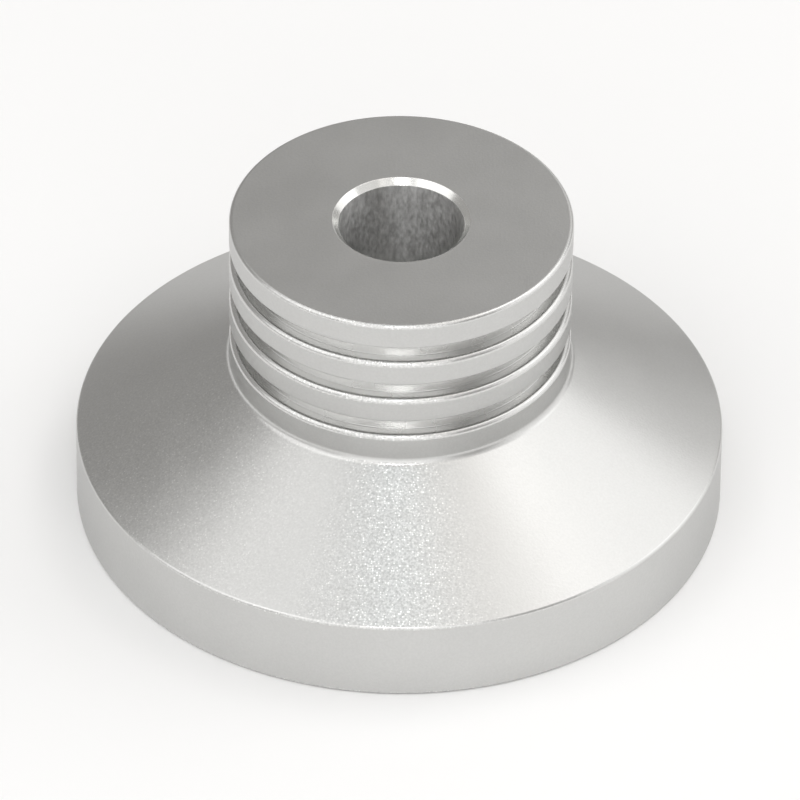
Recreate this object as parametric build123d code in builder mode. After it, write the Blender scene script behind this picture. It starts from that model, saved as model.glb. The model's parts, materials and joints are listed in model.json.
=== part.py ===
from build123d import *
import os

# A turned adapter, all in one piece, that centres a record with a large hole on a narrow spindle.
# Sizes are in millimetres. The turning axis is Z and the flat underside lies on Z = 0.

# What the adapter mates with, and the gap left all round at each of the two fits
record_hole_diameter = 38.2
record_clearance = 0.1
spindle_diameter = 7.2
spindle_clearance = 0.05

# Seat: the straight rim that fills the hole of the record
seat_height = 5.0

# Shoulder: the cone that leads the record down to the seat
shoulder_rise = 5.0

# Grip: the straight neck, a stack of equal lands and grooves above one taller land
grip_diameter = 20.0
land_height = 1.6
bottom_land_height = 1.9
groove_count = 3
groove_width = 1.1
groove_depth = 0.8

# Corners: one small chamfer breaks all the turned edges, a fillet eases the root of the neck,
# and the bore has a wider chamfer at both mouths
edge_chamfer = 0.25
grip_root_radius = 0.5
bore_mouth_chamfer = 0.35

# Worked out from the sizes above
seat_radius = record_hole_diameter / 2 - record_clearance
bore_radius = spindle_diameter / 2 + spindle_clearance
grip_radius = grip_diameter / 2
groove_pitch = land_height + groove_width
shoulder_top = seat_height + shoulder_rise
overall_height = shoulder_top + bottom_land_height + groove_count * groove_pitch

# Mid-heights of the grooves, from the top one down
groove_levels = [
    overall_height - land_height - groove_width / 2 - step * groove_pitch
    for step in range(groove_count)
]

os.makedirs("parts", exist_ok=True)

with BuildPart() as adapter_body:
    # Half section on one side of the turning axis, X outwards and Y up
    with BuildSketch(Plane.XZ) as half_section:
        with BuildLine():
            Polyline(
                (0, 0),
                (seat_radius, 0),
                (seat_radius, seat_height),
                (grip_radius, shoulder_top),
                (grip_radius, overall_height),
                (0, overall_height),
                close=True,
            )
        make_face()

        # Turned corners, from the underside up, with a fillet where the neck rises from the cone
        foot, seat_top, grip_root, grip_top = half_section.vertices().filter_by(
            lambda corner: corner.X > bore_radius
        ).sort_by(Axis.Y)
        chamfer([foot, seat_top, grip_top], edge_chamfer)
        grip_root = half_section.vertices().sort_by_distance(grip_root)[0]
        fillet(grip_root, grip_root_radius)

        # Finger grooves: cut square into the neck at each level, with both lips chamfered
        with Locations([(grip_radius, level) for level in groove_levels]):
            Rectangle(
                groove_depth,
                groove_width,
                align=(Align.MAX, Align.CENTER),
                mode=Mode.SUBTRACT,
            )
        groove_lips = half_section.vertices(Select.LAST).group_by(Axis.X)[-1]
        chamfer(groove_lips, edge_chamfer)
    revolve(axis=Axis.Z)

    # Spindle bore, straight through, with a chamfer at the top and underside mouths
    with Locations((0, 0, overall_height)):
        Hole(bore_radius)
    bore_mouths = adapter_body.edges(Select.LAST).filter_by(GeomType.CIRCLE)
    chamfer(bore_mouths, bore_mouth_chamfer)

adapter_body.part.label = "adapter_body"
export_step(adapter_body.part, "parts/adapter_body.step")
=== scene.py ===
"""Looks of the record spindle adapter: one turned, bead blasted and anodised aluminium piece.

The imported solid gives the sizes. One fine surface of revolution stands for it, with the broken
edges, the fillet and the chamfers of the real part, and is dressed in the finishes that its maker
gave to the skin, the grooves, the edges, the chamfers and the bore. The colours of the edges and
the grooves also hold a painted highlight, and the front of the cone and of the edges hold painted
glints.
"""

import json
import logging
import math
from dataclasses import dataclass, field
from enum import Enum

import bpy
import numpy as np
from mathutils import Matrix, Vector

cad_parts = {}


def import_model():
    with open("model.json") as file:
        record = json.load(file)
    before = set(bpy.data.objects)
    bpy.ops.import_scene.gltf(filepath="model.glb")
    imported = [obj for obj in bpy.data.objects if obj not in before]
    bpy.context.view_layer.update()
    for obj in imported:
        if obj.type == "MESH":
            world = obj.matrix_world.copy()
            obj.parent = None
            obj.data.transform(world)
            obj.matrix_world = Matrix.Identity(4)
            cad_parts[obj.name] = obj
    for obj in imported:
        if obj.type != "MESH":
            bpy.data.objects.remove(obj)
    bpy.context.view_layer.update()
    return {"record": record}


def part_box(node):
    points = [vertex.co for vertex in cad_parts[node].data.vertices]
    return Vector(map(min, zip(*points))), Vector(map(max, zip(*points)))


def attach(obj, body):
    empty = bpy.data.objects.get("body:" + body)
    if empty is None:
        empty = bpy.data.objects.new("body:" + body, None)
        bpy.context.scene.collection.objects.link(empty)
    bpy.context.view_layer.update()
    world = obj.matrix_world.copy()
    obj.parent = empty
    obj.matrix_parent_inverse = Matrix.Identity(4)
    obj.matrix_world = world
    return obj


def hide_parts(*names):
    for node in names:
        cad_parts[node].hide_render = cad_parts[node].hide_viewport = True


MM = 0.001
NODE = "adapter_body"

# Names for what the functions below take and give
Colour = tuple[float, float, float]
Point = tuple[float, float, float]
Span = tuple[float, float]
Socket = bpy.types.NodeSocket

# Colours of lamps
WHITE: Colour = (1.0, 1.0, 1.0)
WARM: Colour = (1.0, 0.975, 0.95)
COOL: Colour = (0.9, 0.965, 1.0)

# Noise spends nearly all of its time between these two values
NOISE_SPAN: Span = (0.3, 0.7)

log = logging.getLogger("adapter")


class Zone(Enum):
    """Zones of the surface that the maker finished apart, numbered as material slots."""

    SKIN = 0
    GROOVE = 1
    CHAMFER = 2
    BORE = 3


@dataclass(frozen=True)
class Corner:
    """One corner of the half section, broken by an arc.

    Attributes:
        r: Distance of the sharp corner from the turning axis, in metres.
        z: Height of the sharp corner, in metres.
        arc: Radius of the arc that breaks it, in metres.
        steps: Number of straight steps that the arc is drawn with.
        wear_and_highlight: How far this edge's colour is brightened, from 0 to 1, partly by the
            rubbing of blasting and handling and partly as a painted highlight.
        zone: Finish of the stretch that runs from this corner to the next one.
    """

    r: float
    z: float
    arc: float
    steps: int
    # Edge brightening: partly real rubbing, partly a painted highlight
    wear_and_highlight: float = 0.0
    zone: Zone = Zone.SKIN


@dataclass(frozen=True)
class Patch:
    """A part of the surface round the axis, strongest in its middle.

    Attributes:
        middle: Angle of its middle from the front, in degrees, positive to the right.
        reach: Half its width, in degrees.
        strength: Its value in the middle, from 0 to 1.
    """

    middle: float
    reach: float
    strength: float


@dataclass
class TurnedBody:
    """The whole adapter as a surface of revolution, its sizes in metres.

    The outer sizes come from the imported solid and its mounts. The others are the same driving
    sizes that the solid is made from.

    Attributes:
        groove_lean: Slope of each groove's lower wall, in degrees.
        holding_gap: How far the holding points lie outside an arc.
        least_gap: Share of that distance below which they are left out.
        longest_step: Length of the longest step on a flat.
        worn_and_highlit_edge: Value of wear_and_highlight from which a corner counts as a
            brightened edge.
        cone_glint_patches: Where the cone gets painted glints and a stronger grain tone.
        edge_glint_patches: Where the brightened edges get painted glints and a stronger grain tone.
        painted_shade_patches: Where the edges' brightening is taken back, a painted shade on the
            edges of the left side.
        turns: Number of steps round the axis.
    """

    seat_radius: float
    overall_height: float
    bore_radius: float
    grip_radius: float = 10.0 * MM
    seat_height: float = 5.0 * MM
    shoulder_rise: float = 5.0 * MM
    land_height: float = 1.6 * MM
    groove_width: float = 1.1 * MM
    groove_depth: float = 0.8 * MM
    groove_count: int = 3
    body_edge_radius: float = 0.22 * MM
    upper_lip_radius: float = 0.09 * MM
    lower_lip_radius: float = 0.3 * MM
    groove_root_radius: float = 0.05 * MM
    groove_lean: float = 3.5
    grip_root_radius: float = 0.5 * MM
    bore_mouth_chamfer: float = 0.35 * MM
    chamfer_edge_radius: float = 0.03 * MM
    holding_gap: float = 0.02 * MM
    least_gap: float = 0.2
    longest_step: float = 1.2 * MM
    worn_and_highlit_edge: float = 0.5
    # Patches of painted glints and stronger grain tone on the cone and on the brightened edges
    cone_glint_patches: tuple[Patch, ...] = (Patch(-1.0, 25.0, 1.0), Patch(-58.0, 60.0, 0.3))
    edge_glint_patches: tuple[Patch, ...] = (Patch(-14.0, 62.0, 0.6),)
    # Painted shade: the edges' painted highlight is taken back on the left side
    painted_shade_patches: tuple[Patch, ...] = (Patch(-100.0, 75.0, 0.9),)
    turns: int = 432

    def groove_corners(self, top: float) -> list[Corner]:
        """Corners of one groove, met from the top down.

        The lower wall rises outwards by a few degrees, as the cutting tool leaves it, so the
        groove's depth times the tangent of that lean is the drop from its lip to its root.

        Args:
            top: Height of the groove's upper wall.

        Returns:
            The upper lip, the two corners of the groove's floor and the lower lip.
        """
        lip, root = self.grip_radius, self.grip_radius - self.groove_depth
        bottom = top - self.groove_width
        drop = self.groove_depth * math.tan(math.radians(self.groove_lean))
        return [
            Corner(lip, top, self.upper_lip_radius, steps=5, wear_and_highlight=0.3, zone=Zone.GROOVE),
            Corner(root, top, self.groove_root_radius, steps=4, zone=Zone.GROOVE),
            Corner(root, bottom - drop, self.groove_root_radius, steps=4, zone=Zone.GROOVE),
            Corner(lip, bottom, self.lower_lip_radius, steps=6, wear_and_highlight=1.0),
        ]

    def corners(self) -> list[Corner]:
        """Every corner of the closed half section.

        Returns:
            The corners in order, up the bore, down the outside and back along the underside.
        """
        top = self.overall_height
        shoulder_top = self.seat_height + self.shoulder_rise
        wall, mouth = self.bore_radius, self.bore_radius + self.bore_mouth_chamfer
        tip, edge = self.chamfer_edge_radius, self.body_edge_radius
        ring = [
            Corner(wall, self.bore_mouth_chamfer, tip, steps=3, zone=Zone.BORE),
            Corner(wall, top - self.bore_mouth_chamfer, tip, steps=3, zone=Zone.CHAMFER),
            Corner(mouth, top, tip, steps=3),
            Corner(self.grip_radius, top, edge, steps=8, wear_and_highlight=1.0),
        ]
        pitch = self.land_height + self.groove_width
        for step in range(self.groove_count):
            ring += self.groove_corners(top - self.land_height - step * pitch)
        ring += [
            Corner(self.grip_radius, shoulder_top, self.grip_root_radius, steps=8, wear_and_highlight=0.2),
            Corner(self.seat_radius, self.seat_height, edge, steps=7, wear_and_highlight=0.9),
            Corner(self.seat_radius, 0.0, edge, steps=8, wear_and_highlight=0.6),
            Corner(mouth, 0.0, tip, steps=3, zone=Zone.CHAMFER),
        ]
        return ring

    def broken_corner(self, before: Corner, here: Corner, after: Corner) -> np.ndarray:
        """Points of one corner's arc, with a holding point on each side of it.

        The arc's centre lies on the line that halves the angle between the two sides, at the arc's
        radius over the sine of half that angle, and each point is the centre plus the radius times
        a direction that turns evenly from one side's normal to the other's. The holding points lie
        on the flats just outside the arc, so that smooth shading stays true on the flats.

        Args:
            before: The corner met before this one.
            here: The corner to break.
            after: The corner met after this one.

        Returns:
            An array of (r, z, wear_and_highlight) rows.
        """
        point = np.array((here.r, here.z))
        back = np.array((before.r, before.z)) - point
        ahead = np.array((after.r, after.z)) - point
        room = 0.5 * min(np.linalg.norm(back), np.linalg.norm(ahead))
        back /= np.linalg.norm(back)
        ahead /= np.linalg.norm(ahead)
        half = 0.5 * math.acos(float(np.clip(back @ ahead, -1.0, 1.0)))
        reach = here.arc / math.tan(half)
        middle = (back + ahead) / np.linalg.norm(back + ahead)
        centre = point + middle * here.arc / math.sin(half)
        first = (point + back * reach - centre) / here.arc
        last = (point + ahead * reach - centre) / here.arc
        swing = math.pi - 2.0 * half
        share = np.linspace(0.0, 1.0, here.steps + 1)[:, None]
        turned = np.sin((1 - share) * swing) * first + np.sin(share * swing) * last
        arc = centre + here.arc * (turned / math.sin(swing))
        gap = min(self.holding_gap, 0.5 * max(room - reach, 0.0))
        rows = [arc]
        if gap > self.least_gap * self.holding_gap:
            rows = [(arc[0] + back * gap)[None], arc, (arc[-1] + ahead * gap)[None]]
        outline = np.vstack(rows)
        wear_and_highlight = np.zeros(len(outline))
        inner = len(rows) // 2
        wear_and_highlight[inner: len(outline) - inner] = here.wear_and_highlight
        return np.column_stack([outline, wear_and_highlight])

    def outline(self) -> tuple[np.ndarray, np.ndarray]:
        """The closed half section as dense points.

        Long flats are cut into even steps no longer than the longest step.

        Returns:
            An array of (r, z, wear_and_highlight) rows, and the zone number of the step that
            follows each row.
        """
        ring = self.corners()
        rows, zones = [], []
        for index, here in enumerate(ring):
            broken = self.broken_corner(ring[index - 1], here, ring[(index + 1) % len(ring)])
            rows.append(broken)
            zones.append(np.full(len(broken), ring[index - 1].zone.value))
            zones[-1][-1] = here.zone.value
        filled, marks = [], []
        for index, (broken, zone) in enumerate(zip(rows, zones)):
            start, end = broken[-1], rows[(index + 1) % len(rows)][0]
            count = max(1, math.ceil(math.hypot(*(end - start)[:2]) / self.longest_step))
            share = np.arange(1, count)[:, None] / count
            filled += [broken, start + (end - start) * share]
            marks += [zone, np.full(count - 1, zone[-1])]
        return np.vstack(filled), np.concatenate(marks)

    def patch_strength(self, patches: tuple[Patch, ...], angle: np.ndarray) -> np.ndarray:
        """Strength of some patches of the surface round the axis.

        Across a patch the strength falls from its middle to its two sides as the square of a
        cosine. Where patches overlap the larger value counts. The front is a quarter turn before
        the angle nought.

        Args:
            patches: The patches to lay over each other.
            angle: Angles round the axis, in radians.

        Returns:
            One value from 0 to 1 for each angle.
        """
        rows = np.array([(patch.middle, patch.reach, patch.strength) for patch in patches])
        middle, reach, strength = rows.T[:, :, None]
        turn = angle + 0.5 * math.pi - np.radians(middle)
        aside = np.degrees(np.angle(np.exp(1j * turn)))
        falls = strength * np.cos(0.5 * math.pi * np.clip(aside / reach, -1.0, 1.0)) ** 2
        return falls.max(axis=0)

    def painted_glint_strength(self, outline: np.ndarray, angle: np.ndarray) -> np.ndarray:
        """How strong the painted glints and the stronger grain tone are at each point, from 0 to 1.

        The cone and the brightened edges have patches of their own, and elsewhere the value is
        nought.

        Args:
            outline: The (r, z, wear_and_highlight) rows of the half section.
            angle: Angles round the axis, in radians.

        Returns:
            One row for each outline point and one column for each angle.
        """
        r, z, wear_and_highlight = outline.T
        on_cone = (z > self.seat_height) & (z < self.seat_height + self.shoulder_rise)
        on_cone &= r > self.grip_radius
        on_edge = (wear_and_highlight > self.worn_and_highlit_edge) & ~on_cone
        return (
            on_cone[:, None] * self.patch_strength(self.cone_glint_patches, angle)
            + on_edge[:, None] * self.patch_strength(self.edge_glint_patches, angle)
        )

    def build(self) -> bpy.types.Object:
        """Turns the half section once round the axis into a closed mesh.

        The surface is a grid of two parameters, the place along the outline and the angle round
        the axis: x is r times the cosine of the angle, y is r times its sine, and z is the
        outline's height. The grid closes on itself both ways.

        Returns:
            The piece, with its wear_and_highlight and glint_patch attributes and each face's zone
            as its slot.
        """
        outline, zone = self.outline()
        along, around = len(outline), self.turns
        angle = np.linspace(0.0, 2.0 * math.pi, around, endpoint=False)
        r, z, wear_and_highlight = outline.T
        points = np.stack(
            [
                r[:, None] * np.cos(angle),
                r[:, None] * np.sin(angle),
                np.repeat(z[:, None], around, axis=1),
            ],
            axis=-1,
        )
        row, column = np.mgrid[0:along, 0:around]
        up, on = (row + 1) % along, (column + 1) % around
        quads = np.stack(
            [
                row * around + column,
                up * around + column,
                up * around + on,
                row * around + on,
            ],
            axis=-1,
        ).reshape(-1, 4)

        mesh = bpy.data.meshes.new("turned_body")
        mesh.vertices.add(along * around)
        mesh.vertices.foreach_set("co", points.ravel())
        mesh.loops.add(quads.size)
        mesh.loops.foreach_set("vertex_index", quads.ravel())
        mesh.polygons.add(len(quads))
        mesh.polygons.foreach_set("loop_start", np.arange(len(quads)) * 4)
        mesh.polygons.foreach_set("material_index", np.repeat(zone, around))
        mesh.polygons.foreach_set("use_smooth", np.ones(len(quads), bool))
        # Painted shade: the edges' brightening is taken back on the left side
        unshaded_share = 1.0 - self.patch_strength(self.painted_shade_patches, angle)
        wear_and_highlight_layer = mesh.attributes.new("wear_and_highlight", "FLOAT", "POINT")
        wear_and_highlight_layer.data.foreach_set("value", (wear_and_highlight[:, None] * unshaded_share).ravel())
        # Mask of the painted glints and the stronger grain tone
        glint_patch = mesh.attributes.new("glint_patch", "FLOAT", "POINT")
        glint_patch.data.foreach_set("value", self.painted_glint_strength(outline, angle).ravel())
        mesh.update(calc_edges=True)
        mesh.validate()
        piece = bpy.data.objects.new("turned_body", mesh)
        bpy.context.scene.collection.objects.link(piece)
        return piece


class Nodes:
    """A short hand for laying out one material's nodes."""

    def __init__(self, name: str) -> None:
        """Starts a material with one shader.

        Args:
            name: Name of the material.
        """
        self.material = bpy.data.materials.new(name)
        self.material.use_nodes = True
        self.tree = self.material.node_tree
        self.tree.nodes.clear()
        output = self.tree.nodes.new("ShaderNodeOutputMaterial")
        self.shader = self.tree.nodes.new("ShaderNodeBsdfPrincipled")
        self.join(self.shader.outputs["BSDF"], output.inputs["Surface"])

    def join(self, source: Socket, target: Socket) -> None:
        """Links one socket to another."""
        self.tree.links.new(source, target)

    def drive(self, name: str, source: Socket) -> None:
        """Lets a socket drive one of the shader's inputs."""
        self.join(source, self.shader.inputs[name])

    def fix(self, name: str, value: float | tuple[float, ...]) -> None:
        """Sets one of the shader's inputs to the same value all over."""
        self.shader.inputs[name].default_value = value

    def add(self, kind: str, inputs: dict | None = None, **settings) -> bpy.types.Node:
        """Adds a node.

        Args:
            kind: The node's type name.
            inputs: Socket name or number to a value, or to the socket that drives it.
            **settings: Properties of the node.

        Returns:
            The new node.
        """
        node = self.tree.nodes.new(kind)
        for name, value in settings.items():
            setattr(node, name, value)
        for name, value in (inputs or {}).items():
            if isinstance(value, bpy.types.NodeSocket):
                self.join(value, node.inputs[name])
            else:
                node.inputs[name].default_value = value
        return node

    def place(self) -> Socket:
        """Coordinates on the piece, in metres."""
        return self.add("ShaderNodeTexCoord").outputs["Object"]

    def attribute(self, name: str) -> Socket:
        """Values of one of the mesh's own attributes."""
        return self.add("ShaderNodeAttribute", attribute_name=name).outputs["Fac"]

    def noise(self, place: Socket, size: float, detail: float) -> Socket:
        """Noise whose features measure about one size.

        Args:
            place: Coordinates in metres.
            size: Feature size in metres.
            detail: Number of finer layers.

        Returns:
            The noise's value socket, centred on 0.5.
        """
        inputs = {"Vector": place, "Scale": 1.0 / size, "Detail": detail}
        return self.add("ShaderNodeTexNoise", inputs).outputs["Fac"]

    def span(self, value: Socket, source: Span, low: float | Socket, high: float) -> Socket:
        """Maps one run of values to another, held at both ends.

        Args:
            value: The value to map.
            source: Where its run starts and ends.
            low: Result at the start of the run.
            high: Result at the end of the run.

        Returns:
            The mapped value.
        """
        inputs = {
            "Value": value,
            "From Min": source[0],
            "From Max": source[1],
            "To Min": low,
            "To Max": high,
        }
        return self.add("ShaderNodeMapRange", inputs).outputs["Result"]

    def blend(self, value: Socket, target: Span) -> Socket:
        """Maps the run of a noise's values to another run."""
        return self.span(value, NOISE_SPAN, *target)

    def product(self, first: Socket, second: Socket) -> Socket:
        """Multiplies two values."""
        return self.add("ShaderNodeMath", {0: first, 1: second}, operation="MULTIPLY").outputs[0]

    def shade(self, colour: Colour | Socket, tone: Socket) -> Socket:
        """Multiplies a colour by a value."""
        inputs = {0: colour, 1: tone}
        return self.add("ShaderNodeVectorMath", inputs, operation="MULTIPLY").outputs[0]

    def between(self, factor: Socket, first: Socket, second: float | Socket) -> Socket:
        """Goes from one value to another as the factor goes from 0 to 1."""
        return self.add("ShaderNodeMix", {"Factor": factor, 2: first, 3: second}).outputs[0]

    def between_colours(self, factor: Socket, first: Colour, second: Colour) -> Socket:
        """Goes from one colour to another as the factor goes from 0 to 1."""
        inputs = {"Factor": factor, 6: (*first, 1.0), 7: (*second, 1.0)}
        return self.add("ShaderNodeMix", inputs, data_type="RGBA").outputs[2]

    def relief(self, height: Socket, distance: float) -> None:
        """Lets a value raise the surface by up to a distance in metres."""
        bump = self.add("ShaderNodeBump", {"Height": height, "Distance": distance, "Strength": 1.0})
        self.drive("Normal", bump.outputs["Normal"])


@dataclass(frozen=True)
class BlastedSkin:
    """Bead blasted and clear anodised skin: dimpled grain, faint cloudiness, edges brightened
    partly by use and partly by a painted highlight, and painted glints.

    Attributes:
        name: Name of the material.
        colour: Colour of the metal.
        wear_and_highlight_colour: Colour of the brightened edges, partly rubbed metal and partly a
            painted highlight.
        grazing_tint: Brightness of the gloss at a grazing angle.
        roughness: Roughness of the metal.
        drift: How far the cloudiness moves the roughness each way.
        edge_roughness: Roughness of the rubbed edges.
        grain: Size of the grain.
        grain_height: Height of the grain.
        dimple: Size of the dimples that carry the painted glints.
        cloud: Size of the clouds.
        fine_tone: Run of tones of the fine grain.
        glint_grain_tone: Run of tones of the grain where the painted glints are.
        cloud_tone: Run of tones of the clouds.
        lit_share: Run of a dimple's random number from one with no painted glint to one with a full
            painted glint.
        lit_tone: Tones of a dimple with no painted glint and of one with a full painted glint.
        dimple_rim: Where a painted glint's tone begins and ends to fade, in the dimple's own size.
    """

    name: str = "blasted_skin"
    colour: Colour = (0.63, 0.63, 0.62)
    wear_and_highlight_colour: Colour = (0.70, 0.70, 0.69)
    grazing_tint: float = 0.8
    roughness: float = 0.33
    drift: float = 0.02
    edge_roughness: float = 0.27
    grain: float = 0.14 * MM
    grain_height: float = 0.006 * MM
    dimple: float = 0.13 * MM
    cloud: float = 4.0 * MM
    fine_tone: Span = (0.975, 1.025)
    glint_grain_tone: Span = (0.78, 1.24)
    cloud_tone: Span = (0.985, 1.015)
    lit_share: Span = (0.5, 0.9)
    lit_tone: Span = (0.93, 1.9)
    dimple_rim: Span = (0.2, 0.5)

    def material(self) -> bpy.types.Material:
        """Builds the finish.

        Returns:
            A metal whose grain is a bump, whose colour and roughness drift slightly, and whose
            colour also holds a painted highlight on the edges and painted glints.
        """
        n = Nodes(self.name)
        place = n.place()
        wear_and_highlight = n.attribute("wear_and_highlight")
        grain = n.noise(place, self.grain, 2.0)
        cloud = n.noise(place, self.cloud, 3.0)
        # Painted glints: some dimples are painted up to nearly twice as bright
        painted_specks = n.product(n.blend(grain, self.glint_grain_tone), self.glints(n, place))
        grain_and_glints = n.between(n.attribute("glint_patch"), n.blend(grain, self.fine_tone), painted_specks)
        tone = n.product(grain_and_glints, n.blend(cloud, self.cloud_tone))
        # Edge colour brightened partly by rubbing and partly as a painted highlight
        paint_with_highlight = n.between_colours(wear_and_highlight, self.colour, self.wear_and_highlight_colour)
        n.drive("Base Color", n.shade(paint_with_highlight, tone))
        drifting = n.blend(cloud, (self.roughness - self.drift, self.roughness + self.drift))
        n.drive("Roughness", n.between(wear_and_highlight, drifting, self.edge_roughness))
        n.relief(grain, self.grain_height)
        n.fix("Specular Tint", (*[self.grazing_tint] * 3, 1.0))
        n.fix("Metallic", 1.0)
        return n.material

    def glints(self, n: Nodes, place: Socket) -> Socket:
        """Painted glints: tones of the dimples, some of which are painted brighter as if they
        caught the light.

        Args:
            n: Nodes of the material.
            place: Coordinates in metres.

        Returns:
            A tone that is highest in the middle of a dimple with a painted glint and plain outside
            it.
        """
        dimple = n.add("ShaderNodeTexVoronoi", {"Vector": place, "Scale": 1.0 / self.dimple})
        lit = n.span(dimple.outputs["Color"], self.lit_share, *self.lit_tone)
        return n.span(dimple.outputs["Distance"], self.dimple_rim, lit, self.lit_tone[0])


@dataclass(frozen=True)
class CutChamfer:
    """The bore's chamfer, cut after blasting: bright metal with the fine marks of the tool.

    Attributes:
        colour: Colour of the metal.
        roughness: Roughness of the metal.
        drift: How far the marks move the roughness each way.
        mark: Size of the marks.
    """

    colour: Colour = (0.84, 0.84, 0.82)
    roughness: float = 0.22
    drift: float = 0.04
    mark: float = 0.08 * MM

    def material(self) -> bpy.types.Material:
        """Builds the finish.

        Returns:
            A bright metal whose roughness drifts from mark to mark.
        """
        n = Nodes("cut_chamfer")
        marks = n.noise(n.place(), self.mark, 1.0)
        drifting = n.blend(marks, (self.roughness - self.drift, self.roughness + self.drift))
        n.drive("Roughness", drifting)
        n.fix("Base Color", (*self.colour, 1.0))
        n.fix("Metallic", 1.0)
        return n.material


@dataclass(frozen=True)
class BoreWall:
    """The bore's wall: bare metal with the fine rings of the reamer and streaks along the axis.

    Attributes:
        colour: Colour of the metal.
        tone: Run of tones of the streaks.
        roughness: Run of roughness of the streaks.
        rings: How far the rings spread the gloss along the axis, from 0 to 1.
        ring_turn: Turn of the spread from the tangent, as a share of a whole turn.
        streak: Width of a streak.
        streak_height: Height of a streak.
        stretch: Width of a streak over its length.
    """

    colour: Colour = (0.78, 0.78, 0.77)
    tone: Span = (0.86, 1.14)
    roughness: Span = (0.32, 0.4)
    rings: float = 0.95
    ring_turn: float = 0.25
    streak: float = 0.22 * MM
    streak_height: float = 0.01 * MM
    stretch: float = 0.45

    def material(self) -> bpy.types.Material:
        """Builds the finish.

        Returns:
            A metal with streaks, which are noise squeezed along the axis.
        """
        n = Nodes("bore_wall")
        squeezed = {"Vector": n.place(), "Scale": (1.0, 1.0, self.stretch)}
        streak = n.noise(n.add("ShaderNodeMapping", squeezed).outputs[0], self.streak, 3.0)
        n.drive("Base Color", n.shade(self.colour, n.blend(streak, self.tone)))
        n.drive("Roughness", n.blend(streak, self.roughness))
        tangent = n.add("ShaderNodeTangent", direction_type="RADIAL", axis="Z")
        n.drive("Tangent", tangent.outputs["Tangent"])
        n.fix("Anisotropic", self.rings)
        n.fix("Anisotropic Rotation", self.ring_turn)
        n.relief(streak, self.streak_height)
        n.fix("Metallic", 1.0)
        return n.material


@dataclass(frozen=True)
class Floor:
    """A plain pale floor, a hair below the underside."""

    colour: Colour = (0.95, 0.95, 0.95)
    half_width: float = 1.5
    gap: float = 0.01 * MM

    def build(self) -> None:
        edge, low = self.half_width, -self.gap
        mesh = bpy.data.meshes.new("floor")
        corners = [(-edge, -edge, low), (edge, -edge, low), (edge, edge, low), (-edge, edge, low)]
        mesh.from_pydata(corners, [], [(0, 1, 2, 3)])
        floor = bpy.data.objects.new("floor", mesh)
        bpy.context.scene.collection.objects.link(floor)
        n = Nodes("floor_paper")
        n.fix("Base Color", (*self.colour, 1.0))
        n.fix("Roughness", 1.0)
        n.fix("Specular IOR Level", 0.0)
        mesh.materials.append(n.material)


@dataclass(frozen=True)
class Softbox:
    """A rectangular lamp that faces the adapter.

    Attributes:
        name: Name of the lamp.
        azimuth: Degrees from the camera's side, positive to the right.
        elevation: Degrees above the floor.
        width: Level side of the lamp, in metres.
        height: The other side, in metres.
        level: Radiance of its face, where 1 is white.
        distance: Metres from the adapter.
        tint: Colour of its light.
    """

    name: str
    azimuth: float
    elevation: float
    width: float
    height: float
    level: float
    distance: float = 0.6
    tint: Colour = WHITE

    def place(self) -> None:
        """Hangs the lamp and turns it to the adapter.

        A flat lamp whose face has a radiance gives off that radiance times pi times its area.
        """
        side, rise = math.radians(self.azimuth), math.radians(self.elevation)
        towards = Vector(
            (math.sin(side) * math.cos(rise), -math.cos(side) * math.cos(rise), math.sin(rise))
        )
        data = bpy.data.lights.new(self.name, "AREA")
        data.shape = "RECTANGLE"
        data.size, data.size_y = self.width, self.height
        data.energy = self.level * math.pi * self.width * self.height
        data.color = self.tint
        lamp = bpy.data.objects.new(self.name, data)
        facing = towards.to_track_quat("Z", "Y").to_matrix().to_4x4()
        lamp.matrix_world = Matrix.Translation(towards * self.distance) @ facing
        bpy.context.scene.collection.objects.link(lamp)


@dataclass(frozen=True)
class Camera:
    """The camera, in metres, degrees and, for its lens and sensor, millimetres.

    Attributes:
        aim: The point that it looks at.
        distance: How far it stands from there.
        elevation: How far above the level it stands.
        roll: Its turn about its own view axis.
        lens: Focal length.
        sensor: Width of the sensor.
        nearest: Nearest distance that it sees.
        farthest: Farthest distance that it sees.
    """

    aim: Point = (0.03 * MM, 0.0, 6.54 * MM)
    distance: float = 0.628
    elevation: float = 38.945
    roll: float = 0.63
    lens: float = 481.2
    sensor: float = 36.0
    nearest: float = 0.05
    farthest: float = 20.0

    def place(self) -> None:
        """Puts the camera at the photograph's viewing angle, looking along +Y and down."""
        rise = math.radians(self.elevation)
        back = Vector((0.0, -math.cos(rise), math.sin(rise)))
        data = bpy.data.cameras.new("camera")
        data.sensor_width = self.sensor
        data.lens = self.lens
        data.clip_start, data.clip_end = self.nearest, self.farthest
        camera = bpy.data.objects.new("camera", data)
        roll = Matrix.Rotation(math.radians(self.roll), 4, "Z")
        level = back.to_track_quat("Z", "Y").to_matrix().to_4x4()
        spot = Vector(self.aim) + back * self.distance
        camera.matrix_world = Matrix.Translation(spot) @ level @ roll
        bpy.context.scene.collection.objects.link(camera)
        bpy.context.scene.camera = camera


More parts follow.
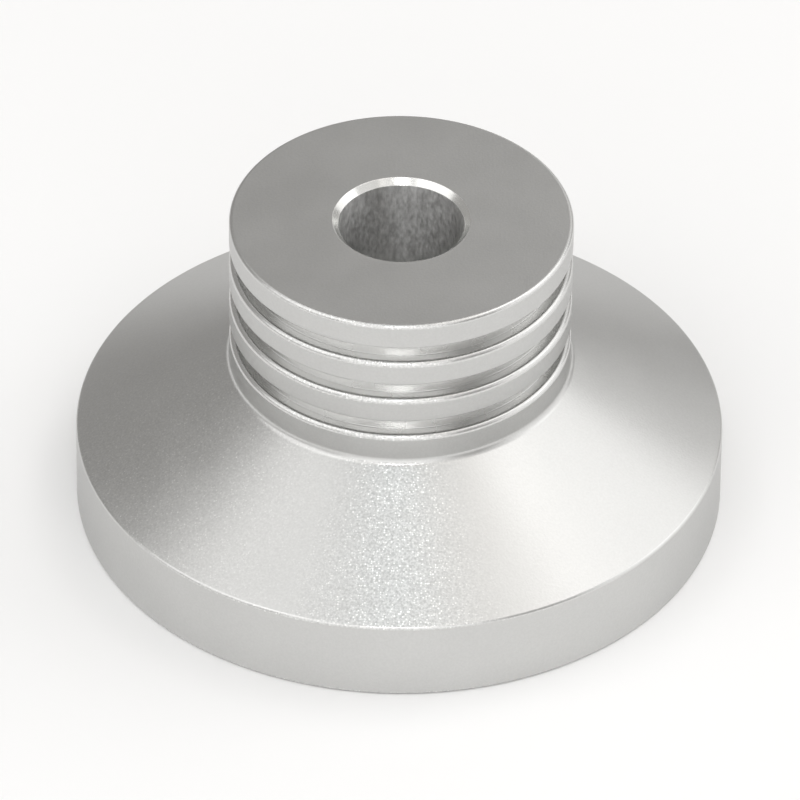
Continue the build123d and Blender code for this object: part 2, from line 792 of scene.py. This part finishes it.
@dataclass(frozen=True)
class Studio:
    """Floor, lamps, surroundings and camera."""

    surroundings: float = 0.372
    surroundings_colour: Colour = (1.0, 0.98, 0.955)
    floor: Floor = Floor()
    softboxes: tuple[Softbox, ...] = (
        Softbox("over_left", -90.0, 70.0, 1.0, 0.38, 0.75, 0.8),
        Softbox("over_right", 90.0, 72.0, 1.0, 0.38, 0.8, 0.8, WARM),
        Softbox("over_middle", -1.0, 83.0, 0.14, 0.14, 2.3, 0.8, COOL),
        Softbox("side_right", 64.0, 43.0, 0.3, 0.25, 0.4, 0.8),
        Softbox("right", 112.0, 48.5, 0.44, 0.41, 1.02),
        Softbox("low_right", 94.0, 18.0, 0.69, 0.4, 0.81),
        Softbox("left", -68.0, 36.0, 0.51, 0.53, 0.94),
        Softbox("front", -3.0, 18.0, 0.72, 0.38, 0.97),
        Softbox("key", 0.0, 50.0, 0.14, 0.16, 7.4, 0.8),
        Softbox("front_left", -26.0, 40.0, 0.27, 0.27, 0.75, 0.8),
        Softbox("front_right", 26.0, 40.0, 0.27, 0.27, 0.66, 0.8),
        Softbox("back_right", 154.0, 31.0, 0.37, 0.39, 0.42),
    )
    camera: Camera = Camera()

    def build(self) -> None:
        """Sets up everything that isn't the adapter."""
        scene = bpy.context.scene
        scene.view_settings.view_transform = "Standard"
        world = bpy.data.worlds.new("studio")
        world.use_nodes = True
        back = world.node_tree.nodes["Background"]
        back.inputs["Color"].default_value = (*self.surroundings_colour, 1.0)
        back.inputs["Strength"].default_value = self.surroundings
        scene.world = world
        self.floor.build()
        for softbox in self.softboxes:
            softbox.place()
        self.camera.place()


@dataclass
class Adapter:
    """The adapter as one piece: its turned surface and its four finishes."""

    skin: BlastedSkin = field(default_factory=BlastedSkin)
    # The groove is a lighter copy of the skin: its lighter colour is painted light that brightens
    # the band inside the groove, and its lower roughness and weaker grain are its finish
    groove: BlastedSkin = BlastedSkin(
        name="blasted_groove_brightened",
        colour=(0.68, 0.68, 0.67),
        roughness=0.27,
        grain_height=0.0015 * MM,
    )
    chamfer: CutChamfer = field(default_factory=CutChamfer)
    bore: BoreWall = field(default_factory=BoreWall)

    def build(self, record: dict) -> bpy.types.Object:
        """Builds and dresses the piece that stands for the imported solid.

        Args:
            record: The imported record, whose mounts give the radii of the bore and the seat.

        Returns:
            The finished piece.
        """
        low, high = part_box(NODE)
        radii = {m["name"]: m["dims"].get("r_mm", 0.0) * MM for m in record["mounts"]}
        body = TurnedBody(
            seat_radius=min(radii["record_seat"], high.x, -low.x),
            overall_height=high.z,
            bore_radius=radii["spindle_bore"],
        )
        piece = body.build()
        finishes = {
            Zone.SKIN: self.skin,
            Zone.GROOVE: self.groove,
            Zone.CHAMFER: self.chamfer,
            Zone.BORE: self.bore,
        }
        for zone in Zone:
            piece.data.materials.append(finishes[zone].material())
        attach(piece, "root")
        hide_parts(NODE)
        log.info("%s: %d faces", piece.name, len(piece.data.polygons))
        return piece


def main() -> None:
    """Loads the frame, builds the adapter and the studio."""
    logging.basicConfig(level=logging.INFO, format="%(name)s: %(message)s")
    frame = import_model()
    Adapter().build(frame["record"])
    Studio().build()


if __name__ == "__main__":
    main()
